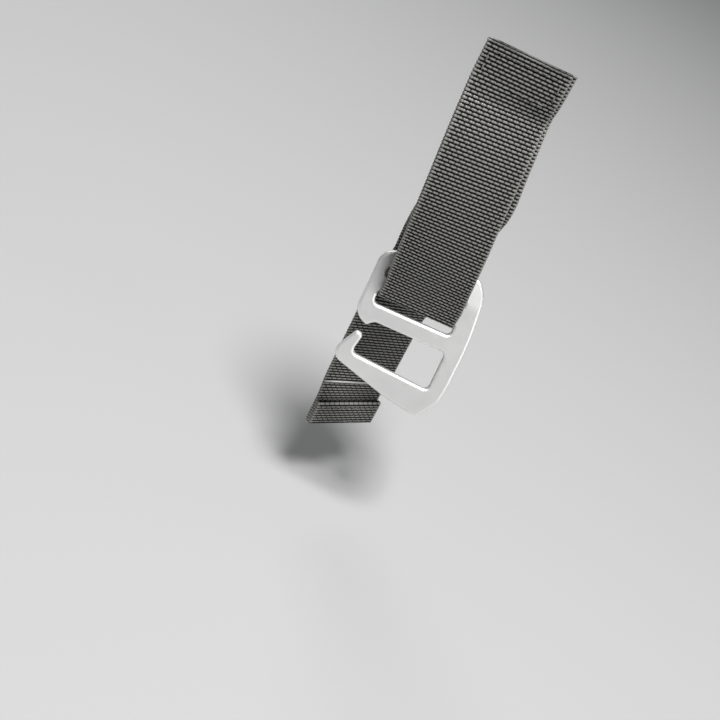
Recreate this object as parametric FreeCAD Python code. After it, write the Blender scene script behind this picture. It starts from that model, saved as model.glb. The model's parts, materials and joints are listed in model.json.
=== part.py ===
import FreeCAD, Part
import math
import os

from FreeCAD import Vector

os.makedirs("parts", exist_ok=True)

# A flat double-bar G-hook of aluminium, hanging on a strap of 38 mm webbing.
# Millimetres. X runs along the bars, -Y is the front, +Z is up.
# The origin is the middle of the strap's top end, where it is sewn to a bag.

# Webbing
webbing_width = 38.0
webbing_thickness = 1.6
layer_gap = 0.3          # air between layers that lie on each other
bar_gap = 0.3            # air between the webbing and the centre bar
stack_gap = 4.4          # free webbing where both runs flex as one stack
single_gap = 1.8         # free webbing where one layer flexes
anchor_length = 18.0     # sewn block at the top end
strap_length = 103.0     # from the anchor's flex line down to the centre bar
strap_bow = 13.5         # how far the runs' bend stands forward
bow_radius = 140.0
bow_height = 50.0        # bend's place below the anchor's flex line
strap_lean = 7.0         # hook's middle to the right of the anchor's
tail_hinge_drop = 38.0   # tail's upper flex line below the anchor's flex line
tail_drop = 109.0        # tail below the top of the hook
tail_end_length = 46.0
stop_length = 14.6       # end of the tail, folded on itself and sewn
tail_twist = 31.0        # degrees, right edge of the hanging tail turned back
tail_offset = -1.6       # tail's middle at the top bar, left of the hook's
tail_shift = -7.5        # hanging tail's middle, left of the hook's
tail_shoulder = 2.2      # tail's front face behind the hook's top bar
tail_slack = 0.8         # tail's end forward of its shoulder
tail_flex_drop = 5.0     # tail's lower flex line below the top of the hook
twist_length = 40.0      # stretch over which the tail turns
shoulder_step = 0.2      # shoulder's upper bend behind the upper flex line
shoulder_drop = 7.0      # and below it
shoulder_radius = 14.0
back_rise = 5.0          # shoulder's lower bend above the top of the hook
back_radius = 12.0

# Hook
plate_thickness = 4.0
edge_round = 1.5
slot_clearance = 0.4     # free room at each edge of the webbing
centre_bar = 8.2
lower_slot = 5.6
upper_slot = 3.8
slot_corner = 2.5        # lower slot's bottom corners
bar_corner = 1.0         # lower slot's top corners, beside the centre bar
main_bar = 8.2
top_bar_left = 7.7
top_bar_right = 12.3
left_arm = 6.15
right_arm = 9.95
mouth_gap = 4.2
beak_depth = 2.8
window_left = 17.4
window_right = 19.7
hook_arm = 14.4          # height of the lower arm under the window's right end
hook_tilt = 19.0         # degrees, lower end tipped forward
bar_y = 2.1              # centre bar behind the middle of the anchor
bend_angle = 7.0         # degrees, top bar bent back
bend_radius = 30.0
slot_play = 0.05         # left of a full half round at each end of the upper slot

# Hook's outline, as distances in from its left or right side, or up and down
top_left_radius = 8.0
top_right_slope = 8.1
top_right_radius = 6.0
shoulder_in = 2.8
shoulder_down = 7.1
side_radius = 14.0
widest_rise = 0.6        # widest place above the top of the main bar
belly_radius = 150.0
waist_in = 0.2
waist_down = 15.2
waist_radius = 70.0
heel_in = 1.2
heel_down = 3.9
corner_in = 7.7
corner_radius = 5.5
toe_in = 24.4
toe_rise = 2.6           # lower edge's rise towards the left
toe_radius = 100.0
arm_slope = 3.1          # arm's root beyond the left side
arm_left = 4.5           # arm's depth below the window at its root
beak_radius = 5.2
tip_inset = 4.75
tip_length = 3.75        # blunt end of the arm at the mouth
tip_radius = 2.0
throat_in = 6.6
window_inset = 1.65      # window's right end beyond the webbing slot's
window_radius = 2.5
window_top_radius = 2.3
notch_end = 10.6
notch_start = 7.5
notch_radius = 2.0
beak_point = 0.6
frame_drop = 0.1
frame_corner = 8.5

# Webbing at the upper slot
slot_turn = 2.0          # webbing's bends at the upper slot
slot_lead = 2.4          # webbing straight out of the upper slot

# Sewing
thread_radius = 0.3
stitch_length = 3.0
stitch_pitch = 4.0
stitch_margin = 3.0      # rows' distance from the webbing's edges
rounding = 1e-6          # a length this close to a whole pitch counts as whole

layer_pitch = webbing_thickness + layer_gap
slot_half = webbing_width / 2 + slot_clearance
bar_half = centre_bar / 2
plate_half = plate_thickness / 2
main_top = -(bar_half + lower_slot)
main_bottom = main_top - main_bar
upper_top = bar_half + upper_slot
flex_z = -anchor_length - stack_gap / 2
bar_z = flex_z - strap_length
half_webbing = webbing_thickness / 2
wrap_offset = bar_gap + half_webbing
stack_half = layer_pitch + half_webbing


def local_to_world(depth, height):
    """Hook's own depth and height, from the centre bar, to Y and Z."""
    tilt = math.radians(hook_tilt)
    y = bar_y + depth * math.cos(tilt) + height * math.sin(tilt)
    z = bar_z + height * math.cos(tilt) - depth * math.sin(tilt)
    return y, z


def rounded_face(corners):
    """Face in the XZ plane through corners (x, z, radius)."""
    starts = []
    ends = []
    arcs = []
    count = len(corners)
    for index in range(count):
        before = corners[index - 1]
        here = corners[index]
        after = corners[(index + 1) % count]
        corner = Vector(here[0], 0, here[1])
        back = Vector(before[0], 0, before[1]).sub(corner).normalize()
        ahead = Vector(after[0], 0, after[1]).sub(corner).normalize()
        half = back.getAngle(ahead) / 2
        reach = here[2] / math.tan(half)
        middle = (back + ahead).normalize()
        start = corner + back * reach
        end = corner + ahead * reach
        crown = corner + middle * (here[2] / math.sin(half) - here[2])
        starts.append(start)
        ends.append(end)
        arcs.append(Part.Arc(start, crown, end).toShape())
    edges = []
    for index in range(count):
        edges.append(Part.LineSegment(ends[index - 1], starts[index]).toShape())
        edges.append(arcs[index])
    return Part.Face(Part.Wire(edges))


def through_plate(face):
    """Solid with this outline that passes right through the plate."""
    reach = 6 * plate_thickness
    block = face.extrude(Vector(0, 2 * reach, 0))
    block.translate(Vector(0, -reach, 0))
    return block


def slot_face(bottom, top, low_radius, high_radius):
    return rounded_face([
        (-slot_half, top, high_radius),
        (slot_half, top, high_radius),
        (slot_half, bottom, low_radius),
        (-slot_half, bottom, low_radius),
    ])


def plate_outline():
    """The G: frame, open mouth on the left and the tapering hook arm."""
    left = -slot_half - left_arm
    right = slot_half + right_arm
    mouth = main_bottom - beak_depth - mouth_gap
    arm_bottom = main_bottom - window_right - hook_arm
    window_low = main_bottom - window_right
    window_end = slot_half + window_inset
    tip = left + tip_inset
    frame_top = [
        (left, upper_top + top_bar_left, top_left_radius),
        (right - top_right_slope, upper_top + top_bar_right, top_right_radius),
        (right - shoulder_in, upper_top + top_bar_right - shoulder_down, side_radius),
    ]
    right_side = [
        (right, main_top + widest_rise, belly_radius),
        (right - waist_in, main_bottom - waist_down, waist_radius),
        (right - heel_in, window_low - heel_down, side_radius),
        (right - corner_in, arm_bottom, corner_radius),
    ]
    lower_arm = [
        (right - toe_in, arm_bottom + toe_rise, toe_radius),
        (left - arm_slope, main_bottom - window_left - arm_left, beak_radius),
        (tip, mouth, tip_radius),
        (tip + tip_length, mouth, tip_radius),
    ]
    window = [
        (left + throat_in, main_bottom - window_left, window_radius),
        (window_end, window_low, window_radius),
        (window_end, main_bottom, window_top_radius),
        (left + notch_end, main_bottom, notch_radius),
        (left + notch_start, main_bottom - beak_depth, beak_point),
        (left, main_bottom - frame_drop, frame_corner),
    ]
    return rounded_face(frame_top + right_side + lower_arm + window)


def bent_strip():
    """Plate seen from its side: flat below, bent back above the centre bar."""
    bend = math.radians(bend_angle)
    low = main_bottom - window_right - hook_arm - 20
    tall = 60.0
    centre = Vector(0, bend_radius, bar_half)
    edges = []
    sides = []
    for radius in (bend_radius + plate_half, bend_radius - plate_half):
        foot = Vector(0, bend_radius - radius, low)
        start = Vector(0, bend_radius - radius, bar_half)
        middle = centre + Vector(0, -math.cos(bend / 2), math.sin(bend / 2)) * radius
        end = centre + Vector(0, -math.cos(bend), math.sin(bend)) * radius
        top = end + Vector(0, math.sin(bend), math.cos(bend)) * tall
        edges.append(Part.LineSegment(foot, start).toShape())
        edges.append(Part.Arc(start, middle, end).toShape())
        edges.append(Part.LineSegment(end, top).toShape())
        sides.append((foot, top))
    edges.append(Part.LineSegment(sides[0][0], sides[1][0]).toShape())
    edges.append(Part.LineSegment(sides[0][1], sides[1][1]).toShape())
    face = Part.Face(Part.Wire(Part.__sortEdges__(edges)))
    reach = 4 * slot_half
    strip = face.extrude(Vector(2 * reach, 0, 0))
    strip.translate(Vector(-reach, 0, 0))
    return strip


def hook():
    body = through_plate(plate_outline())
    slot_end = upper_slot / 2 - slot_play
    upper = through_plate(slot_face(bar_half, upper_top, slot_end, slot_end))
    lower = through_plate(slot_face(main_top, -bar_half, slot_corner, bar_corner))
    plate = body.cut(upper).cut(lower).common(bent_strip())
    rims = [edge for edge in plate.Edges if is_rim(edge)]
    plate = plate.makeFillet(edge_round, rims)
    plate.rotate(Vector(0, 0, 0), Vector(1, 0, 0), -hook_tilt)
    plate.translate(Vector(strap_lean, bar_y, bar_z))
    return plate


def is_rim(edge):
    """An edge of the plate's front or back face, not one across its thickness or at its bend."""
    first = edge.Vertexes[0].Point
    last = edge.Vertexes[-1].Point
    step = last - first
    if step.Length < plate_thickness * 1.1 and abs(step.y) > plate_thickness * 0.9:
        return False
    along_bars = abs(step.y) < 1e-6 and abs(step.z) < 1e-6
    bend = math.sin(math.radians(bend_angle))
    rises = [0.0, (bend_radius + plate_half) * bend, (bend_radius - plate_half) * bend]
    at_bend = any(abs(first.z - bar_half - rise) < 1e-4 for rise in rises)
    return not (along_bars and at_bend)


def band(corners, half):
    """Closed YZ outline of a ribbon whose middle follows corners (y, z, radius)."""
    points = [Vector(0, corner[0], corner[1]) for corner in corners]
    inner = []
    outer = []
    for side, edges in ((-half, inner), (half, outer)):
        last = points[0] + across(points[0], points[1]) * side
        for index in range(1, len(points) - 1):
            here = points[index]
            back = (points[index - 1] - here).normalize()
            ahead = (points[index + 1] - here).normalize()
            wedge = back.getAngle(ahead) / 2
            radius = corners[index][2]
            reach = radius / math.tan(wedge)
            middle = (back + ahead).normalize()
            centre = here + middle * (radius / math.sin(wedge))
            start = here + back * reach + across(points[index - 1], here) * side
            end = here + ahead * reach + across(here, points[index + 1]) * side
            crown = centre - middle * (start - centre).Length
            edges.append(Part.LineSegment(last, start).toShape())
            edges.append(Part.Arc(start, crown, end).toShape())
            last = end
        finish = points[-1] + across(points[-2], points[-1]) * side
        edges.append(Part.LineSegment(last, finish).toShape())
    caps = []
    for end in (0, -1):
        point_in = inner[end].Vertexes[end].Point
        point_out = outer[end].Vertexes[end].Point
        caps.append(Part.LineSegment(point_in, point_out).toShape())
    return Part.Face(Part.Wire(Part.__sortEdges__(inner + outer + caps)))


def across(start, end):
    """Unit normal in the YZ plane, to the back of a run that goes down."""
    step = (end - start).normalize()
    return Vector(0, -step.z, step.y)


def ribbon(corners, width=webbing_width, middle=0.0):
    solid = band(corners, half_webbing).extrude(Vector(width, 0, 0))
    solid.translate(Vector(middle - width / 2, 0, 0))
    return solid


def lean_at(height):
    """Middle of the leaning runs at this height."""
    return strap_lean * (height - flex_z) / (hook_flex_z - flex_z)


def leaning(corners, top, low):
    """Level ribbon whose two edges lean; top and low are (x, z) of its middle."""
    half = webbing_width / 2
    spread = webbing_width + 4 * abs(strap_lean)
    reach = 3 * webbing_width
    outline = [
        Vector(top[0] - half, -reach, top[1]),
        Vector(top[0] + half, -reach, top[1]),
        Vector(low[0] + half, -reach, low[1]),
        Vector(low[0] - half, -reach, low[1]),
    ]
    prism = Part.Face(Part.makePolygon(outline + outline[:1])).extrude(Vector(0, 2 * reach, 0))
    return ribbon(corners, spread).common(prism)


def run(corners):
    """A layer of the strap, leaning from the anchor to the hook."""
    return leaning(corners, (lean_at(0.0), 0.0), (lean_at(bar_z), bar_z))


def bowed(offset):
    """Start and bend of a run that lies this far behind the front run."""
    top = Vector(0, offset, -anchor_length - stack_gap)
    bend = Vector(0, offset - strap_bow, flex_z - bow_height)
    return (top.y, top.z, 0), (bend.y, bend.z, bow_radius - offset)


def point_at(start, end, height):
    """The point (y, z) of a straight run at this height."""
    share = (height - start[1]) / (end[1] - start[1])
    return start[0] + share * (end[0] - start[0]), height, 0


def slanted(x, y, z, twist):
    """Level cross-section of the tail, its width turned by twist."""
    turn = FreeCAD.Rotation(Vector(0, 0, 1), twist)
    corners = [(-1, -1), (1, -1), (1, 1), (-1, 1), (-1, -1)]
    half_width = webbing_width / 2
    return Part.makePolygon([
        Vector(x, y, z) + turn.multVec(Vector(side * half_width, face * half_webbing, 0))
        for side, face in corners
    ])


def capsule_row(start, end, normal):
    """Stitches in a row, lying on a surface with this outward normal."""
    row = end - start
    count = int((row.Length + rounding) // stitch_pitch) + 1
    direction = Vector(row).normalize()
    spare = row.Length - (count - 1) * stitch_pitch
    stitches = []
    for index in range(count):
        centre = start + direction * (spare / 2 + index * stitch_pitch) + normal * thread_radius
        foot = centre - direction * (stitch_length / 2)
        stitches.append(Part.makeCylinder(thread_radius, stitch_length, foot, direction))
    return stitches


def tail_sections(places):
    """Solid through cross-sections (x, y, z, twist)."""
    return Part.makeLoft([slanted(*place) for place in places], True, False)


def save(name, *solids):
    shape = solids[0] if len(solids) == 1 else Part.makeCompound(solids)
    shape.exportStep("parts/" + name + ".step")
    print(name, shape.isValid(), len(shape.Solids), round(shape.Volume, 1))


def webbing_wrap():
    """Webbing once round the centre bar: in by the lower slot, out by the upper one."""
    return ribbon([
        point_at(front_bend, front_foot, wrap_start),
        (front_foot[0], front_foot[1], wrap_radius),
        (back_foot[0], back_foot[1], wrap_radius),
        (back_head[0], back_head[1], slot_turn),
        (slot_exit[0], slot_exit[1], slot_turn),
        point_at(return_bend, slot_exit, wrap_start),
    ], webbing_width, strap_lean)


def anchor():
    """The strap's three layers, sewn into one block."""
    corner = Vector(-webbing_width / 2, -stack_half, -anchor_length)
    return Part.makeBox(webbing_width, 2 * stack_half, anchor_length, corner)


def anchor_stitches():
    """A sewn box with a row on each side, on the anchor's front."""
    side = webbing_width / 2 - stitch_margin
    high = -stitch_margin
    low = -anchor_length + stitch_margin
    front = Vector(0, -1, 0)
    corners = [(-side, high), (side, high), (side, low), (-side, low)]
    stitches = []
    for index, corner in enumerate(corners):
        last = corners[index - 1]
        start = Vector(last[0], -stack_half, last[1])
        end = Vector(corner[0], -stack_half, corner[1])
        inset = (end - start).normalize() * stitch_length
        stitches += capsule_row(start + inset, end - inset, front)
    return stitches


def tail_upper():
    """Third layer of the bowed strap, down to the tail's own flex line."""
    behind_return = (slot_exit[0] + layer_pitch, slot_exit[1])
    layer = run([tail_start, tail_bend, point_at(tail_bend, behind_return, run_end)])
    low = tail_hinge_z + single_gap / 2
    keep = Part.makeBox(2 * webbing_width, 80, -low, Vector(-webbing_width, -40, low))
    return layer.common(keep)


def tail_shoulder_run():
    """From the upper flex line back over the top bar."""
    corners = [
        (tail_hinge_y, tail_hinge_z - single_gap / 2, 0),
        (tail_hinge_y + shoulder_step, tail_hinge_z - shoulder_drop, shoulder_radius),
        (tail_y, shoulder_z + back_rise, back_radius),
        (tail_y, tail_flex_z + single_gap / 2, 0),
    ]
    top = (lean_at(tail_hinge_z), tail_hinge_z)
    return leaning(corners, top, (back_x, tail_flex_z))


def tail_hanging():
    """Stretch that hangs behind the hook and turns by the tail's twist."""
    top = tail_flex_z - single_gap / 2
    low = end_hinge_z + single_gap / 2
    turned = tail_flex_z - twist_length
    places = []
    for step in range(4):
        share = step / 3
        x = back_x + share * (tail_x - back_x)
        y = tail_y - share * tail_slack
        places.append((x, y, top + share * (turned - top), share * tail_twist))
    places.append((tail_x, tail_y - tail_slack, low, tail_twist))
    return tail_sections(places)


def tail_tip():
    top = end_hinge_z - single_gap / 2
    end_y = tail_y - tail_slack
    return tail_sections([
        (tail_x, end_y, top, tail_twist),
        (tail_x, end_y, tail_end_z, tail_twist),
    ])


def turned_point(across_width, depth, height):
    """A point on the tail's end, in its own width, depth and height above its lower edge."""
    turn = FreeCAD.Rotation(Vector(0, 0, 1), tail_twist)
    foot = Vector(tail_x, tail_y - tail_slack, tail_end_z)
    return foot + turn.multVec(Vector(across_width, depth, height))


def stop_fold():
    """End of the webbing, folded twice on the tail's front."""
    depth = 2 * webbing_thickness
    block = Part.makeBox(webbing_width, depth, stop_length, Vector(-webbing_width / 2, 0, 0))
    block.rotate(Vector(0, 0, 0), Vector(0, 0, 1), tail_twist)
    block.translate(turned_point(0, -half_webbing - depth, 0))
    return block


def stop_stitches():
    front = -half_webbing - 2 * webbing_thickness
    side = webbing_width / 2 - stitch_margin
    normal = turned_point(0, -1, 0) - turned_point(0, 0, 0)
    stitches = []
    for height in (stitch_margin, stop_length - stitch_margin):
        start = turned_point(-side, front, height)
        end = turned_point(side, front, height)
        stitches += capsule_row(start, end, normal)
    return stitches


hook_shape = hook()
hook_box = hook_shape.BoundBox

# Path of the webbing round the centre bar, in the hook's own depth and height
wrap_depth = plate_half + wrap_offset
wrap_low = -bar_half - wrap_offset
wrap_high = bar_half + upper_slot / 2
wrap_radius = edge_round + wrap_offset
front_foot = local_to_world(-wrap_depth, wrap_low)
back_foot = local_to_world(wrap_depth, wrap_low)
back_head = local_to_world(wrap_depth, wrap_high)
slot_exit = local_to_world(-wrap_depth - slot_lead, wrap_high)

# Front and return runs, parted from the wrap at the hook's flex line
hook_flex_z = slot_exit[1] + stack_gap
run_end = hook_flex_z + stack_gap / 2
wrap_start = hook_flex_z - stack_gap / 2
front_start, front_bend = bowed(-layer_pitch)
return_start, return_bend = bowed(0.0)
tail_start, tail_bend = bowed(layer_pitch)
front_run = run([front_start, front_bend, point_at(front_bend, front_foot, run_end)])
return_run = run([return_start, return_bend, point_at(return_bend, slot_exit, run_end)])
bar_wrap = webbing_wrap()

# Tail: behind the runs, over the back of the top bar, then hanging with a twist
back_x = strap_lean + tail_offset
tail_x = strap_lean + tail_shift
tail_hinge_z = flex_z - tail_hinge_drop
tail_top = tail_upper()
tail_hinge_y = min(tail_top.Faces, key=lambda face: face.CenterOfMass.z).CenterOfMass.y
tail_y = hook_box.YMax + tail_shoulder + half_webbing
shoulder_z = hook_box.ZMax
tail_flex_z = shoulder_z - tail_flex_drop
tail_end_z = shoulder_z - tail_drop
end_hinge_z = tail_end_z + tail_end_length

save("strap_anchor", anchor())
save("anchor_stitches", *anchor_stitches())
save("front_run", front_run)
save("return_run", return_run)
save("bar_wrap", bar_wrap)
save("hook", hook_shape)
save("tail_top", tail_top)
save("tail_shoulder", tail_shoulder_run())
save("tail_hanging", tail_hanging())
save("tail_end", tail_tip())
save("stop_fold", stop_fold())
save("stop_stitches", *stop_stitches())

front_y = point_at(front_bend, front_foot, hook_flex_z)[0]
return_y = point_at(return_bend, slot_exit, hook_flex_z)[0]
places = {
    "strap_swing": (0.0, 0.0, flex_z),
    "hook_swing": (strap_lean, (front_y + return_y) / 2, hook_flex_z),
    "tail_swing": (lean_at(tail_hinge_z), tail_hinge_y, tail_hinge_z),
    "tail_flex": (back_x, tail_y, tail_flex_z),
    "end_flex": (tail_x, tail_y - tail_slack, end_hinge_z),
}
for joint, place in places.items():
    print(joint, "at", [round(value, 2) for value in place])
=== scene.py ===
import json
import math

import bmesh
import bpy
import numpy as np
from mathutils import Matrix, Vector


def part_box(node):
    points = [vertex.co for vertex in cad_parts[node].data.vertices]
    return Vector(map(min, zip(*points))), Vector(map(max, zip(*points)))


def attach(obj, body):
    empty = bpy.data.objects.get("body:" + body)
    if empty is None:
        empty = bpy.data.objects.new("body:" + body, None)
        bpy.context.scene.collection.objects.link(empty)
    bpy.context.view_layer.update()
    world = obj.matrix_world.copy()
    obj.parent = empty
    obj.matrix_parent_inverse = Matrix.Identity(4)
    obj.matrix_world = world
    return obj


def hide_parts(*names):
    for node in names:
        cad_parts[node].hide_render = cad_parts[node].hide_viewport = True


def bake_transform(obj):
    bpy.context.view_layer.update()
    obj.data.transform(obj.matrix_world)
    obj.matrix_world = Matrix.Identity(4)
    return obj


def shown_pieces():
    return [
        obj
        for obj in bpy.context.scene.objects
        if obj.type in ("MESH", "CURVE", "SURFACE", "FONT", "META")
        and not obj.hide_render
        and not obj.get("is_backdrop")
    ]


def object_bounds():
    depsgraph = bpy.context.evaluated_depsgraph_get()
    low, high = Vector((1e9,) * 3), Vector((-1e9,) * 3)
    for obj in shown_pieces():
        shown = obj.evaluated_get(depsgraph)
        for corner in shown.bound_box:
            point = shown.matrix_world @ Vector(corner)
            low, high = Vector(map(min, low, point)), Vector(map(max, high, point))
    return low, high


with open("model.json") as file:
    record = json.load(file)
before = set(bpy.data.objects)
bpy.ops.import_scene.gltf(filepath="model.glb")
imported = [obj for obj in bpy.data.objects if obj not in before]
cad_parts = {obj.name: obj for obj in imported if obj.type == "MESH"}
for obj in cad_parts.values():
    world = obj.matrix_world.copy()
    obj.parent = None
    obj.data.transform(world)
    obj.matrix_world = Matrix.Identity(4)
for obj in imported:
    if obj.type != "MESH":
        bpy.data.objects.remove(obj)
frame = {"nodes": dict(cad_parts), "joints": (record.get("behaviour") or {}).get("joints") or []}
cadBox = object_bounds()
print("frame loaded:", sorted(frame["nodes"]))

mm = 0.001  # sizes below are in millimetres

webbing = {
    "width": 38.0,
    "thickness": 1.6,
    "layerPitch": 1.9,     # from one layer's middle to the next
    "rowPitch": 1.65,      # one weft row
    "dashPitch": 2.86,     # one raised bundle of warp yarns
    "relief": 0.42,        # depth of the dips between the bundles
    "selvage": 0.9,        # width of the beaded edge
    "faceSteps": 128,      # mesh steps over one face
    "edgeSteps": 6,        # mesh steps round one edge
    "rowSteps": 6,         # mesh steps in one row
}

weave = {
    "ribPower": 1.3,       # how narrow the crest of a row is
    "gapDepth": 0.9,       # dip between two bundles of a row, and how narrow it is
    "gapPower": 9,
    "yarns": 3,            # yarns in one bundle, and the depth between them
    "yarnDepth": 0.12,
    "beadLow": 0.15,       # the edge's beads at their lowest
    "beadPower": 0.8,
    "blendOut": 0.9,       # where the beads have taken over, in from the edge
    "blendWide": 0.5,
}

strap = {
    "anchorLength": 18.0,
    "flexTop": 22.4,       # the layers lean forward from here down
    "flexRadius": 14.0,
    "bow": 13.5,           # how far the bend stands forward
    "bowHeight": 50.0,
    "bowRadius": 140.0,
    "seam": -62.0,         # height where the upper and lower stretches meet
    "twist": 8.8,          # degrees, right edge turned back in the middle of the runs
    "leanPower": 1.5,      # the lean is steeper near the hook
    "leanFoot": 118.0,     # depth below the top where the webbing runs square
    "twistFrom": 101.0,    # depths below the top where the turn comes and goes
    "twistFull": 60.0,
    "twistFade": 26.0,
    "twistEnd": 10.0,
}

hook = {
    "barY": 2.1,
    "barZ": -123.2,
    "tilt": 19.0,          # degrees
    "plateHalf": 2.0,
    "barHalf": 4.1,
    "upperSlot": 3.8,
    "edgeRound": 1.5,
    "barGap": 0.3,
    "slotLead": 2.4,
    "slotTurn": 2.0,
    "frontSeam": 3.0,      # heights above the bar where the wrap meets the two runs
    "returnSeam": 8.0,
}

tail = {
    "upperSeam": -42.0,
    "shoulderSeam": -86.0,
    "middleSeam": -146.0,
    "leaveAbove": 4.0,     # it leaves the strap's route this far above its upper hinge
    "leaveStep": 0.1,
    "leaveDrop": 7.5,
    "leaveRadius": 16.0,
    "shoulderRise": 10.0,  # bends above and below its lower hinge
    "shoulderRadius": 13.0,
    "hangDrop": 12.0,
    "slackDrop": 40.0,
    "hangRadius": 60.0,
    "apartFrom": 13.0,     # it parts from the strap between these places round its upper hinge
    "apartTo": 25.0,
    "turnFrom": 2.0,       # and turns between these round its lower hinge
    "turnTo": 40.0,
    "peek": 2.2,           # how far it shows to the right of the upper strap
    "peekFrom": 45.0,      # depths below the top where it slides back under
    "peekTo": 92.0,
    "twist": 31.0,         # degrees, right edge turned back
    "stopTwist": 4.5,      # the stop turns this much further, between these depths below the top
    "stopTwistFrom": 180.0,
    "stopTwistTo": 198.0,
    "slack": 0.8,
    "stopLength": 14.6,
    "foldPitch": 1.7,
    "foldTight": 0.98,     # a little short of a full half round
    "foldShort": 1.0,      # fold's middle line below the stop's upper edge
    "rawEnd": 0.6,         # cut end above the lower fold
    "foldRow": 0.72,       # the first row of the stop starts this far past its upper fold
}

shortest = 1e-6            # points nearer than this are one
joints = {joint["name"]: Vector(joint["pos_m"]) / mm for joint in frame["joints"]}


# A route has close points (y, z) in mm, the length along it, and the place its rows are counted from

def roundedRoute(corners, step=0.15):  # straight runs joined by arcs, corners are (y, z, radius)
    points = [np.array(corners[0][:2])]
    for before, here, after in zip(corners, corners[1:], corners[2:]):
        corner = np.array(here[:2])
        back = np.array(before[:2]) - corner
        back /= np.linalg.norm(back)
        ahead = np.array(after[:2]) - corner
        ahead /= np.linalg.norm(ahead)
        half = math.acos(np.clip(back @ ahead, -1, 1)) / 2
        middle = (back + ahead) / np.linalg.norm(back + ahead)
        centre = corner + middle * here[2] / math.sin(half)
        start = corner + back * here[2] / math.tan(half)
        spoke = start - centre
        turn = math.pi - 2 * half
        if back[0] * ahead[1] - back[1] * ahead[0] > 0:
            turn = -turn
        count = max(3, int(abs(turn) * here[2] / step))
        for angle in np.linspace(0, turn, count):
            c, s = math.cos(angle), math.sin(angle)
            points.append(centre + [c * spoke[0] - s * spoke[1], s * spoke[0] + c * spoke[1]])
    points.append(np.array(corners[-1][:2]))
    return measured(np.array(points))


def measured(points):
    length = np.concatenate([[0], np.cumsum(np.linalg.norm(np.diff(points, axis=0), axis=1))])
    keep = np.concatenate([[True], np.diff(length) > shortest])
    return {"points": points[keep], "length": length[keep], "rowStart": 0.0}


def along(route, distance):
    return np.stack([np.interp(distance, route["length"], route["points"][:, i]) for i in (0, 1)], 1)


def distanceAt(route, height, last=False):  # how far along the route this height is passed
    below = route["points"][:, 1] < height
    crossings = np.nonzero(below[1:] != below[:-1])[0]
    return route["length"][crossings[-1 if last else 0]]


def hookPlace(depth, height):  # the hook's own depth and height to y, z
    tilt = math.radians(hook["tilt"])
    y = hook["barY"] + depth * math.cos(tilt) + height * math.sin(tilt)
    z = hook["barZ"] + height * math.cos(tilt) - depth * math.sin(tilt)
    return y, z


def smoothStep(value, low, high):
    t = np.clip((value - low) / (high - low), 0, 1)
    return t * t * (3 - 2 * t)


wrapOffset = hook["barGap"] + webbing["thickness"] / 2
wrapDepth = hook["plateHalf"] + wrapOffset
wrapLow = -hook["barHalf"] - wrapOffset
wrapHigh = hook["barHalf"] + hook["upperSlot"] / 2
wrapRadius = hook["edgeRound"] + wrapOffset
slotExit = hookPlace(-wrapDepth - hook["slotLead"], wrapHigh)


def bowed(offset):  # top end and bend of a layer this far behind the middle one
    bendZ = joints["strap_swing"].z - strap["bowHeight"]
    return [
        (offset, 0.0, 0.0),
        (offset, -strap["flexTop"], strap["flexRadius"]),
        (offset - strap["bow"], bendZ, strap["bowRadius"] - offset),
    ]


strapRoute = roundedRoute(
    bowed(-webbing["layerPitch"])
    + [(*hookPlace(-wrapDepth, wrapLow), wrapRadius)]
    + [(*hookPlace(wrapDepth, wrapLow), wrapRadius)]
    + [(*hookPlace(wrapDepth, wrapHigh), hook["slotTurn"])]
    + [(*slotExit, hook["slotTurn"])]
    + bowed(0.0)[::-1]
)


def tailRoute():
    behind = bowed(webbing["layerPitch"]) + [(slotExit[0] + webbing["layerPitch"], slotExit[1], 0.0)]
    upper = roundedRoute(behind)["points"]
    hinge = joints["tail_swing"]
    shoulder = joints["tail_flex"]
    low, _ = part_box("tail_end")
    endY = shoulder.y - tail["slack"]
    endZ = low.z / mm + tail["foldPitch"] / 2 + webbing["thickness"] / 2
    upper = upper[upper[:, 1] > hinge.z + tail["leaveAbove"]]
    fold = tail["foldPitch"]
    foldRadius = fold / 2 * tail["foldTight"]
    foldLow = endZ - fold / 2
    foldTop = foldLow + tail["stopLength"] - tail["foldShort"]
    lower = roundedRoute([
        (*upper[-1], 0.0),
        (hinge.y + tail["leaveStep"], hinge.z - tail["leaveDrop"], tail["leaveRadius"]),
        (shoulder.y, shoulder.z + tail["shoulderRise"], tail["shoulderRadius"]),
        (shoulder.y, shoulder.z - tail["hangDrop"], tail["hangRadius"]),
        (endY, shoulder.z - tail["slackDrop"], tail["hangRadius"]),
        (endY, foldLow, foldRadius),
        (endY - fold, foldLow, foldRadius),
        (endY - fold, foldTop, foldRadius),
        (endY - 2 * fold, foldTop, foldRadius),
        (endY - 2 * fold, foldLow + tail["rawEnd"], 0.0),
    ])["points"]
    route = measured(np.concatenate([upper, lower[1:]]))
    heights = route["points"][:, 1]
    lowFold = np.argmin(heights)
    topFold = lowFold + np.argmax(heights[lowFold:])
    route["rowStart"] = route["length"][topFold] + tail["foldRow"]
    route["stopSeam"] = route["length"][lowFold]
    return route, endY


tailPath, tailEndY = tailRoute()
middleLayer = strapRoute["points"][np.argmax(strapRoute["points"][:, 0]):][::-1]


def layerDepth(height):  # where the middle layer of the strap is at this height
    return np.interp(-height, -middleLayer[:, 1], middleLayer[:, 0])


def leaning(height):  # the strap's runs lean from the anchor to the hook and turn a little
    swing, foot = joints["strap_swing"], joints["hook_swing"]
    share = np.clip((height + strap["leanFoot"]) / (swing.z + strap["leanFoot"]), 0, 1)
    lean = swing.x + (foot.x - swing.x) * (1 - share) ** strap["leanPower"]
    turned = smoothStep(-height, strap["twistEnd"], strap["twistFade"])
    turned = turned * (1 - smoothStep(-height, strap["twistFull"], strap["twistFrom"]))
    return lean, math.radians(strap["twist"]) * turned, layerDepth(height)


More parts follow.
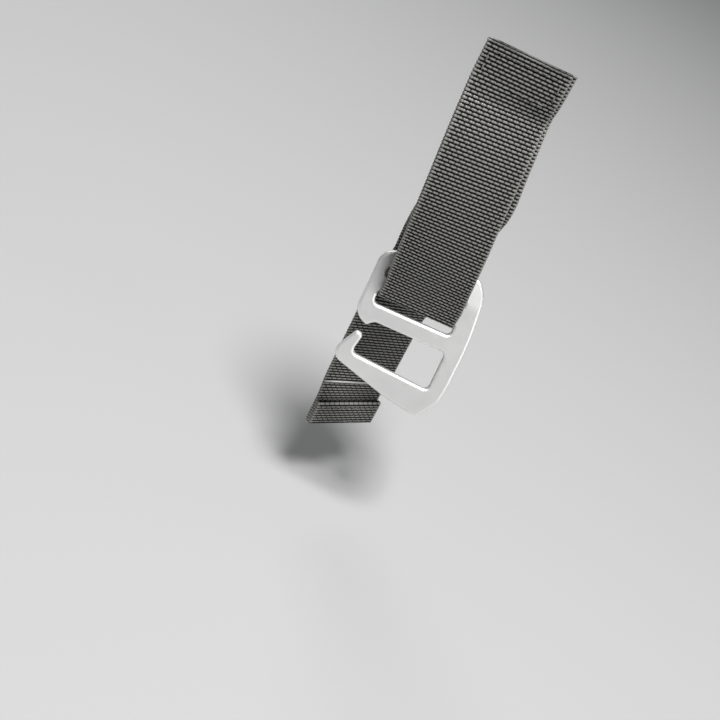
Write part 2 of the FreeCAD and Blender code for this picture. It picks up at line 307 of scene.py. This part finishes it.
def drifting(height):  # the tail follows the strap, then wanders left and turns as it hangs
    line = [joints[name] for name in ("strap_swing", "tail_swing", "tail_flex")]
    lean = np.interp(-height, [-place.z for place in line], [place.x for place in line])
    peek = tail["peek"] * (1 - smoothStep(-height, tail["peekFrom"], tail["peekTo"]))
    turned = smoothStep(-height, -line[2].z - tail["turnFrom"], -line[2].z + tail["turnTo"])
    shift = (lean + peek) * (1 - turned) + joints["end_flex"].x * turned
    _, strapTurn, strapDepth = leaning(height)
    left = smoothStep(-height, -line[1].z - tail["apartFrom"], -line[1].z + tail["apartTo"])
    further = smoothStep(-height, tail["stopTwistFrom"], tail["stopTwistTo"])
    turn = tail["twist"] * turned + tail["stopTwist"] * further
    twist = strapTurn * (1 - left) + np.radians(turn)
    return shift, twist, strapDepth * (1 - left) + tailEndY * left


def placed(route, distance, drift):  # middle of the webbing there, and the direction across it
    flat = along(route, distance)
    shift, twist, hub = drift(flat[:, 1])
    depth = flat[:, 0] - hub
    middle = np.stack([shift - depth * np.sin(twist), hub + depth * np.cos(twist), flat[:, 1]], 1)
    across = np.stack([np.cos(twist), np.sin(twist), np.zeros_like(twist)], 1)
    return middle, across


def weaveLift(across, distance, face):  # 1 on a raised bundle, 0 in the deepest dip
    row = distance / webbing["rowPitch"]
    nearest = np.floor(row + 0.5)
    rib = np.cos(math.pi * (row - nearest)) ** weave["ribPower"]
    share = across / webbing["dashPitch"] + 0.5 * (nearest % 2) + 0.25 * face
    share = share - np.floor(share)
    bundle = 1 - weave["gapDepth"] * np.abs(2 * share - 1) ** weave["gapPower"]
    yarns = 1 + weave["yarnDepth"] * (np.cos(weave["yarns"] * 2 * math.pi * share) - 1)
    lift = rib * bundle * yarns
    bead = weave["beadLow"] + (1 - weave["beadLow"]) * np.abs(np.cos(math.pi * row)) ** weave["beadPower"]
    rim = webbing["width"] / 2
    inner = rim - webbing["selvage"] - weave["blendWide"]
    edge = smoothStep(np.abs(across), inner, rim - weave["blendOut"])
    return lift * (1 - edge) + bead * edge


def webbingSection(share):  # round the webbing: flat place, outward (across, front) and face
    face, edge = webbing["faceSteps"], webbing["edgeSteps"]
    total = 2 * (face + edge)
    corners = [0, face, face + edge, 2 * face + edge, total]
    flat = webbing["width"] / 2 - webbing["thickness"] / 2
    turn = np.interp(share * total, corners, [0, 0, math.pi, math.pi, 2 * math.pi])
    place = np.interp(share * total, corners, [-flat, flat, flat, -flat, -flat])
    return place, np.sin(turn), np.cos(turn)


def smoothFaces(bm):
    for item in bm.faces:
        item.smooth = True


nudge = 0.05               # step to either side that gives a route's direction
seamWeld = 1e-7            # metres


def weavePiece(name, route, start, end, drift=leaning):
    half = webbing["thickness"] / 2
    rows = max(4, round((end - start) / webbing["rowPitch"] * webbing["rowSteps"]))
    around = 2 * (webbing["faceSteps"] + webbing["edgeSteps"])
    bm = bmesh.new()
    bmesh.ops.create_grid(bm, x_segments=around, y_segments=rows, size=0.5)
    mesh = bpy.data.meshes.new(name)
    bm.to_mesh(mesh)
    grid = np.empty(len(mesh.vertices) * 3)
    mesh.vertices.foreach_get("co", grid)
    grid = grid.reshape(-1, 3) + 0.5
    distance = start + (end - start) * grid[:, 1]
    place, sideways, forward = webbingSection(grid[:, 0])
    middle, across = placed(route, distance, drift)
    ahead, _ = placed(route, distance + nudge, drift)
    behind, _ = placed(route, distance - nudge, drift)
    tangent = ahead - behind
    front = np.cross(tangent, across)
    front /= np.linalg.norm(front, axis=1)[:, None]
    flat = place + sideways * half
    lift = weaveLift(flat, distance - route["rowStart"], np.sign(forward))
    reach = half - webbing["relief"] * (1 - lift)
    points = middle + across * (place + sideways * reach)[:, None]
    points = points + front * (forward * reach)[:, None]
    mesh.vertices.foreach_set("co", (points * mm).ravel())
    for label, values in (("lift", lift), ("across", flat), ("distance", distance)):
        mesh.attributes.new(label, "FLOAT", "POINT").data.foreach_set("value", values.astype(np.float32))
    bm.clear()
    bm.from_mesh(mesh)
    bmesh.ops.remove_doubles(bm, verts=bm.verts[:], dist=seamWeld)
    smoothFaces(bm)
    ends = [item for item in bm.edges if item.is_boundary]
    bmesh.ops.holes_fill(bm, edges=ends, sides=0)
    for item in ends:
        item.smooth = False
    bmesh.ops.recalc_face_normals(bm, faces=bm.faces[:])
    bm.to_mesh(mesh)
    bm.free()
    weaveMap = mesh.uv_layers.new(name="weave")
    corners = np.empty(len(mesh.loops), np.int32)
    mesh.loops.foreach_get("vertex_index", corners)
    values = np.empty((len(corners), 2), np.float32)
    for column, label in enumerate(("across", "distance")):
        read = np.empty(len(mesh.vertices), np.float32)
        mesh.attributes[label].data.foreach_get("value", read)
        values[:, column] = read[corners]
    weaveMap.data.foreach_set("uv", values.ravel())
    for label in ("across", "distance"):
        mesh.attributes.remove(mesh.attributes[label])
    piece = bpy.data.objects.new(name, mesh)
    bpy.context.scene.collection.objects.link(piece)
    return piece


# Shader maths: a Field wraps one socket, and expressions on it add nodes

class Field:
    def __init__(self, tree, socket=None):
        self.tree = tree
        self.socket = socket

    def node(self, kind, settings=None, sockets=None, output=0):
        made = self.tree.nodes.new(kind)
        for key, value in (settings or {}).items():
            setattr(made, key, value)
        for key, value in (sockets or {}).items():
            target = made.inputs[key]
            if isinstance(value, Field):
                self.tree.links.new(value.socket, target)
            else:
                target.default_value = value
        return Field(self.tree, made.outputs[output] if made.outputs else None)

    def combine(self, operation, first, second):
        return self.node("ShaderNodeMath", {"operation": operation}, {0: first, 1: second})

    def __add__(self, other):
        return self.combine("ADD", self, other)

    def __radd__(self, other):
        return self.combine("ADD", other, self)

    def __mul__(self, other):
        return self.combine("MULTIPLY", self, other)


def newFinish(name):
    material = bpy.data.materials.new(name)
    material.use_nodes = True
    material.node_tree.nodes.clear()
    return material, Field(material.node_tree)


def closeFinish(pen, shader):
    pen.node("ShaderNodeOutputMaterial", {}, {"Surface": shader})


def noise(pen, vector, scale, detail=3.0):
    return pen.node("ShaderNodeTexNoise", {}, {"Vector": vector, "Scale": scale, "Detail": detail})


def mixColour(pen, share, first, second):
    sockets = {0: share, 6: first, 7: second}
    return pen.node("ShaderNodeMix", {"data_type": "RGBA"}, sockets, output=2)


webbingLook = {
    # dip is painted shade: the dips between bundles darkened to near black; bundle is lighter than the
    # black yarn, partly its colour and partly a painted highlight
    "dip": (0.0012, 0.0012, 0.0014, 1),
    "bundle": (0.22, 0.215, 0.2, 1),
    "fibreWave": 43.96,     # fibre streaks, radians to a millimetre
    "tops": 0.42,           # roughness of the bundles, and of the dips
    "dips": 0.9,
    "gloss": 0.9,           # coat on the bundles
    "coatRoughness": 0.3,
    "coatIndex": 1.6,
    "specular": 0.15,
    "sheen": 0.03,
    "sheenRoughness": 0.4,
    "patchScale": 0.35,     # noise, to a millimetre
    "yarnScale": 1.6,
    "fibreSlant": 0.35,
    "raisedFrom": 0.3,      # lift where the dip ends and the bundle begins
    "raisedTo": 0.85,
    "bump": 0.35,
    "bumpDepth": 0.00012,
}


def webbingFinish():
    look = webbingLook
    material, pen = newFinish("wovenWebbing")
    lift = pen.node("ShaderNodeAttribute", {"attribute_name": "lift"}, output=2)
    weaveMap = pen.node("ShaderNodeUVMap", {"uv_map": "weave"})
    place = pen.node("ShaderNodeSeparateXYZ", {}, {0: weaveMap})
    down = Field(pen.tree, place.socket.node.outputs[1])
    patches = noise(pen, weaveMap, look["patchScale"])
    yarnNoise = noise(pen, weaveMap, look["yarnScale"], 2.0)
    wave = (place * look["fibreSlant"] + down) * look["fibreWave"]
    streaks = pen.node("ShaderNodeMath", {"operation": "SINE"}, {0: wave})
    limits = {0: lift, 1: look["raisedFrom"], 2: look["raisedTo"]}
    raised = pen.node("ShaderNodeMapRange", {"interpolation_type": "SMOOTHSTEP"}, limits)
    # colour follows the relief: painted shade in the dips, a painted highlight on the bundle tops, with
    # yarn and patch noise varying the tone
    paintedShadeAndYarnTone = raised * (0.65 + yarnNoise * 0.5) * (0.8 + patches * 0.4)
    colour = mixColour(pen, paintedShadeAndYarnTone, look["dip"], look["bundle"])
    roughness = look["dips"] + raised * (look["tops"] - look["dips"]) + yarnNoise * 0.1
    height = streaks * 0.5 + yarnNoise
    bump = pen.node("ShaderNodeBump", {}, {
        "Strength": look["bump"],
        "Distance": look["bumpDepth"],
        "Height": height,
    })
    shader = pen.node("ShaderNodeBsdfPrincipled", {}, {
        "Base Color": colour,
        "Roughness": roughness,
        "Normal": bump,
        "Sheen Weight": look["sheen"],
        "Sheen Roughness": look["sheenRoughness"],
        "Specular IOR Level": look["specular"],
        "Coat Weight": raised * look["gloss"],
        "Coat Roughness": look["coatRoughness"],
        "Coat IOR": look["coatIndex"],
    })
    closeFinish(pen, shader)
    return material


# light is the thread's colour on the ply crests; the darker colour is painted shade in the grooves
# between plies
threadLook = {"light": (0.20, 0.196, 0.185, 1), "paintedGrooveShade": (0.02, 0.02, 0.021, 1)}
whippingLook = {"light": (0.7, 0.69, 0.66, 1), "paintedGrooveShade": (0.12, 0.118, 0.112, 1)}
thread = {
    "plies": 990.0,         # to a metre
    "plyUnevenness": 1.5,
    "fuzz": 4000.0,
    "roughness": 0.45,
    "sheen": 0.2,
    "bump": 0.6,
    "bumpDepth": 0.0001,
}


def threadFinish(name, look):
    material, pen = newFinish(name)
    place = pen.node("ShaderNodeTexCoord", {}, {}, output=3)
    wave = pen.node("ShaderNodeTexWave", {"bands_direction": "DIAGONAL"}, {
        "Vector": place,
        "Scale": thread["plies"],
        "Distortion": thread["plyUnevenness"],
    }, output=1)
    fuzz = noise(pen, place, thread["fuzz"])
    # darker where the ply wave is low: painted shade in the ply grooves, with fuzz noise varying the tone
    colour = mixColour(pen, wave * 0.7 + fuzz * 0.3, look["paintedGrooveShade"], look["light"])
    bump = pen.node("ShaderNodeBump", {}, {
        "Strength": thread["bump"],
        "Distance": thread["bumpDepth"],
        "Height": wave,
    })
    shader = pen.node("ShaderNodeBsdfPrincipled", {}, {
        "Base Color": colour,
        "Roughness": thread["roughness"] + fuzz * 0.15,
        "Normal": bump,
        "Sheen Weight": thread["sheen"],
    })
    closeFinish(pen, shader)
    return material


plateLook = {
    "pale": (0.88, 0.88, 0.86, 1),
    "grey": (0.80, 0.802, 0.795, 1),
    "blast": 9000.0,       # grain of the blasting, to a metre
    "cloud": 45.0,
    "handling": 260.0,
    "metallic": 0.85,
    "roughness": 0.38,
    "bump": 0.12,
    "bumpDepth": 0.00004,
}


def plateFinish():
    look = plateLook
    material, pen = newFinish("blastedAluminium")
    place = pen.node("ShaderNodeTexCoord", {}, {}, output=3)
    grain = noise(pen, place, look["blast"], 2.0)
    cloud = noise(pen, place, look["cloud"], 4.0)
    handling = noise(pen, place, look["handling"])
    colour = mixColour(pen, cloud * 0.7 + grain * 0.3, look["grey"], look["pale"])
    roughness = look["roughness"] + cloud * 0.08 + handling * 0.06
    bump = pen.node("ShaderNodeBump", {}, {
        "Strength": look["bump"],
        "Distance": look["bumpDepth"],
        "Height": grain,
    })
    shader = pen.node("ShaderNodeBsdfPrincipled", {}, {
        "Base Color": colour,
        "Metallic": look["metallic"],
        "Roughness": roughness,
        "Normal": bump,
    })
    closeFinish(pen, shader)
    return material


webbingMaterial = webbingFinish()
threadMaterial = threadFinish("sewingThread", threadLook)
whippingMaterial = threadFinish("whippingThread", whippingLook)
plateMaterial = plateFinish()
print("finishes made")


# The strap: one length of webbing from the anchor round the centre bar and back

frontSeam = distanceAt(strapRoute, strap["seam"])
returnSeam = distanceAt(strapRoute, strap["seam"], last=True)
frontFlex = distanceAt(strapRoute, hook["barZ"] + hook["frontSeam"])
returnFlex = distanceAt(strapRoute, hook["barZ"] + hook["returnSeam"], last=True)
strapEnd = strapRoute["length"][-1]
tailSeams = [distanceAt(tailPath, tail[key]) for key in ("upperSeam", "shoulderSeam", "middleSeam")]
tailEnd = tailPath["length"][-1]


def bend(piece):  # bakes the piece's placement into its mesh
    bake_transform(piece)


frontUpper = weavePiece("frontUpperWebbing", strapRoute, 0, frontSeam)
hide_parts("strap_anchor")
bend(frontUpper)

frontLower = weavePiece("frontLowerWebbing", strapRoute, frontSeam, frontFlex)
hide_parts("front_run")
bend(frontLower)

barWrap = weavePiece("barWrapWebbing", strapRoute, frontFlex, returnFlex)
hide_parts("bar_wrap")
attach(barWrap, "hook")

returnLower = weavePiece("returnLowerWebbing", strapRoute, returnFlex, returnSeam)
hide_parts("return_run")
bend(returnLower)

returnUpper = weavePiece("returnUpperWebbing", strapRoute, returnSeam, strapEnd)
bend(returnUpper)
print("strap woven, mm:", round(strapEnd, 1))


# The tail: third layer at the anchor, then free behind the hook

tailUpper = weavePiece("tailUpperWebbing", tailPath, 0, tailSeams[0], drifting)
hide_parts("tail_top")
bend(tailUpper)

tailShoulder = weavePiece("tailShoulderWebbing", tailPath, tailSeams[0], tailSeams[1], drifting)
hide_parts("tail_shoulder")
bend(tailShoulder)

tailMiddle = weavePiece("tailMiddleWebbing", tailPath, tailSeams[1], tailSeams[2], drifting)
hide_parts("tail_hanging")
bend(tailMiddle)

tailLower = weavePiece("tailLowerWebbing", tailPath, tailSeams[2], tailPath["stopSeam"], drifting)
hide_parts("tail_end")
bend(tailLower)

stopFold = weavePiece("stopFoldWebbing", tailPath, tailPath["stopSeam"], tailEnd, drifting)
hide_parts("stop_fold")
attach(stopFold, "tail_stop")
print("tail woven, mm:", round(tailEnd, 1))


stitching = {
    "radius": 0.3,
    "length": 3.0,
    "pitch": 4.0,
    "margin": 3.0,
    "sides": 10,
    "rings": 9,
    "dip": 0.35,           # how far a stitch's ends go into the webbing
    "seat": 0.7,           # height of its middle, in radii
    "rounding": 1e-3,
}


def stitchRow(bm, start, end, normal, pitch, length, radius, slant=0.0):
    run = end - start
    direction = run.normalized()
    count = int((run.length + stitching["rounding"]) // pitch) + 1
    spare = run.length - (count - 1) * pitch
    side = normal.cross(direction).normalized()
    turn = Matrix.Rotation(slant, 3, normal)
    segments = {"u_segments": stitching["sides"], "v_segments": stitching["rings"]}
    for index in range(count):
        made = bmesh.ops.create_uvsphere(bm, **segments, radius=1)
        middle = start + direction * (spare / 2 + index * pitch) + normal * radius * stitching["seat"]
        for vert in made["verts"]:
            wide, high, long = vert.co
            arch = -stitching["dip"] * long * long
            local = direction * (long * length / 2) + side * (wide * radius)
            local = local + normal * (high * radius + arch)
            vert.co = (middle + turn @ local) * mm


def threadPiece(name, rows, body, *nodes, material=threadMaterial):
    bm = bmesh.new()
    for row in rows:
        stitchRow(bm, *row)
    bmesh.ops.recalc_face_normals(bm, faces=bm.faces[:])
    smoothFaces(bm)
    mesh = bpy.data.meshes.new(name)
    bm.to_mesh(mesh)
    bm.free()
    piece = bpy.data.objects.new(name, mesh)
    bpy.context.scene.collection.objects.link(piece)
    piece.data.materials.append(material)
    if nodes:
        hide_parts(*nodes)
    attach(piece, body)
    return piece


def anchorRows():
    side = webbing["width"] / 2 - stitching["margin"]
    depth = -webbing["layerPitch"] - webbing["thickness"] / 2
    high, low = -stitching["margin"], -strap["anchorLength"] + stitching["margin"]
    corners = [(-side, high), (side, high), (side, low), (-side, low)]
    rows = []
    for index, corner in enumerate(corners):
        last = corners[index - 1]
        start, end = Vector((last[0], depth, last[1])), Vector((corner[0], depth, corner[1]))
        inset = (end - start).normalized() * stitching["length"]
        line = start + inset, end - inset, Vector((0, -1, 0))
        rows.append((*line, stitching["pitch"], stitching["length"], stitching["radius"]))
    return rows


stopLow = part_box("tail_end")[0].z / mm


def stopLine(depth, height, edge):  # across the tail's front: two ends, and the way the front faces
    shift, turn, hub = drifting(stopLow + height)
    across = Vector((math.cos(turn), math.sin(turn), 0))
    front = Vector((math.sin(turn), -math.cos(turn), 0))
    middle = Vector((shift, hub, stopLow + height)) + front * depth
    reach = across * (webbing["width"] / 2 - edge)
    return middle - reach, middle + reach, front


def stopRows():
    depth = webbing["thickness"] / 2 + 2 * tail["foldPitch"]
    rows = []
    for height in (stitching["margin"], tail["stopLength"] - stitching["margin"]):
        line = stopLine(depth, height, stitching["margin"])
        rows.append((*line, stitching["pitch"], stitching["length"], stitching["radius"]))
    return rows


whipping = {"height": 26.4, "edge": 0.6, "pitch": 0.95, "length": 1.35, "radius": 0.52, "slant": 0.3}


def whippedRow():
    line = stopLine(webbing["thickness"] / 2, whipping["height"], whipping["edge"])
    return [(*line, whipping["pitch"], whipping["length"], whipping["radius"], whipping["slant"])]


threadPiece("anchorStitching", anchorRows(), "anchor", "anchor_stitches")
threadPiece("stopStitching", stopRows(), "tail_stop", "stop_stitches")
threadPiece("stopWhippedLine", whippedRow(), "tail_stop", material=whippingMaterial)
print("stitches sewn")

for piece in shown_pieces():
    if piece.name.endswith("Webbing"):
        piece.data.materials.append(webbingMaterial)
plateNode = frame["nodes"]["hook"]
plateNode.data.materials.clear()
plateNode.data.materials.append(plateMaterial)

studio = {
    "floorDrop": 40.0,     # floor below the tail's end
    "floorSize": 6.0,
    "floorColour": (0.36, 0.36, 0.358, 1),
    "sky": (0.92, 0.94, 0.97, 1),
    "skyStrength": 0.2,
    "camera": (-59.7, -467.0, 136.7),
    "forward": (0.0972, 0.8358, -0.5404),
    "up": (-0.399, 0.5302, 0.7481),
    "lens": 58.6,
    "aim": (0, 0, -0.1),   # where the lights point
    "lights": {            # place, watts and size
        "keyLight": ((0.1, -0.6, 1.5), 54.0, 0.5),
        "fillLight": ((1.25, -0.7, 0.1), 4.5, 0.7),
        "backLight": ((-0.6, 1.2, 0.8), 8.0, 0.9),
    },
}


def makeFloor():
    bm = bmesh.new()
    bmesh.ops.create_grid(bm, x_segments=1, y_segments=1, size=studio["floorSize"] / 2)
    height = cadBox[0][2] - studio["floorDrop"] * mm
    bmesh.ops.translate(bm, verts=bm.verts[:], vec=(0, 0, height))
    mesh = bpy.data.meshes.new("floor")
    bm.to_mesh(mesh)
    bm.free()
    floor = bpy.data.objects.new("floor", mesh)
    bpy.context.scene.collection.objects.link(floor)
    material, pen = newFinish("palePaper")
    colour = studio["floorColour"]
    closeFinish(pen, pen.node("ShaderNodeBsdfPrincipled", {}, {"Base Color": colour, "Roughness": 0.8}))
    mesh.materials.append(material)
    floor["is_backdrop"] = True


def makeLight(name, place, power, size):
    data = bpy.data.lights.new(name, "AREA")
    data.energy = power
    data.shape = "DISK"
    data.size = size
    light = bpy.data.objects.new(name, data)
    light.location = place
    toward = Vector(studio["aim"]) - Vector(place)
    light.rotation_euler = toward.to_track_quat("-Z", "Y").to_euler()
    bpy.context.scene.collection.objects.link(light)


makeFloor()
for name, (place, power, size) in studio["lights"].items():
    makeLight(name, place, power, size)

world = bpy.data.worlds.new("studio")
world.use_nodes = True
world.node_tree.nodes["Background"].inputs["Color"].default_value = studio["sky"]
world.node_tree.nodes["Background"].inputs["Strength"].default_value = studio["skyStrength"]
bpy.context.scene.world = world
bpy.context.scene.view_settings.view_transform = "Standard"

cameraData = bpy.data.cameras.new("camera")
cameraData.lens = studio["lens"]
cameraData.clip_start = 0.01
camera = bpy.data.objects.new("camera", cameraData)
forward = Vector(studio["forward"]).normalized()
up = Vector(studio["up"])
right = forward.cross(up).normalized()
up = right.cross(forward)
turned = Matrix((right, up, -forward)).transposed().to_4x4()
camera.matrix_world = Matrix.Translation(Vector(studio["camera"]) * mm) @ turned
bpy.context.scene.collection.objects.link(camera)
bpy.context.scene.camera = camera

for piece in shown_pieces():
    print(piece.name, sum(len(item.vertices) - 2 for item in piece.data.polygons), "triangles")
print("studio ready")
